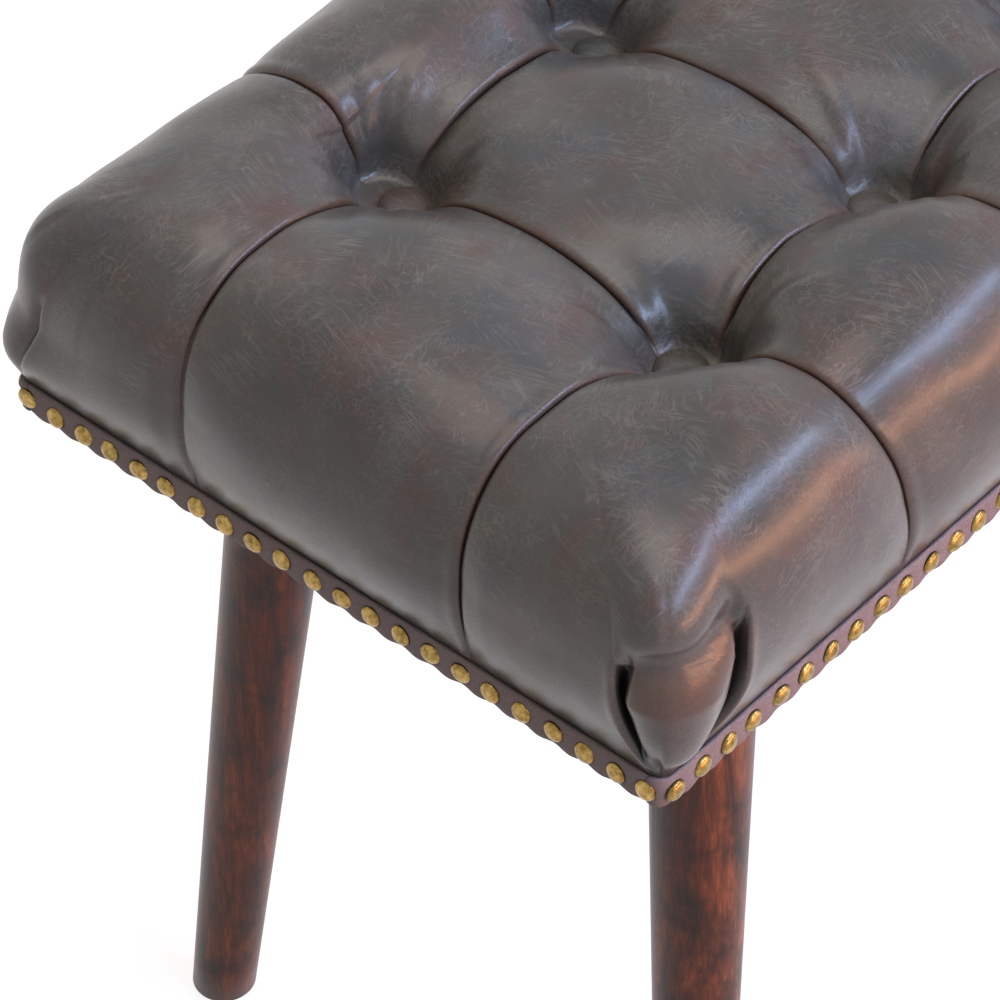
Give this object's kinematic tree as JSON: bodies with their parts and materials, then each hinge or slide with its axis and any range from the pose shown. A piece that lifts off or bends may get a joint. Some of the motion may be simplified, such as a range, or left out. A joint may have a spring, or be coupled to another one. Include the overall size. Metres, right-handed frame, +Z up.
{
  "type": "upholstered bench",
  "caption": "Long low bench with a deep-buttoned leather seat, a nailed band round its lower edge and round tapered legs that lean outwards; for sitting on.",
  "frame": {"origin": "on the floor, under the middle of the seat", "axes": "+X along the bench, -Y towards the front, +Z up"},
  "size_m": [0.944, 0.389, 0.56],
  "materials": {
    "leather": "satin, waxed",
    "band_leather": "matt",
    "antique_brass": "polished, antiqued",
    "leg_wood": "stained, satin lacquer",
    "frame_wood": "sawn",
    "plywood": "sanded",
    "foam": "open-cell foam",
    "twine": "waxed",
    "lining": "woven",
    "zinc_steel": "zinc plated",
    "glide_nylon": "matt"
  },
  "bodies": {
    "root": {"back_left_block": "frame_wood", "back_left_leg": "leg_wood", "back_nail_band": "band_leather", "back_rail": "frame_wood", "back_right_block": "frame_wood", "back_right_leg": "leg_wood", "block_screws": "zinc_steel", "button_twines": "twine", "covered_buttons": "leather", "cross_rail": "frame_wood", "deck_screws": "zinc_steel", "dome_nails": "antique_brass", "foam_pad": "foam", "foot_glides": "glide_nylon", "front_left_block": "frame_wood", "front_left_leg": "leg_wood", "front_nail_band": "band_leather", "front_rail": "frame_wood", "front_right_block": "frame_wood", "front_right_leg": "leg_wood", "hanger_bolts": "zinc_steel", "leather_cover": "leather", "left_end_rail": "frame_wood", "left_nail_band": "band_leather", "lining_cloth": "lining", "lining_staples": "zinc_steel", "rail_dowels": "frame_wood", "right_end_rail": "frame_wood", "right_nail_band": "band_leather", "seat_deck": "plywood", "t_nuts": "zinc_steel", "twine_washers": "zinc_steel"}
  },
  "joints": []
}
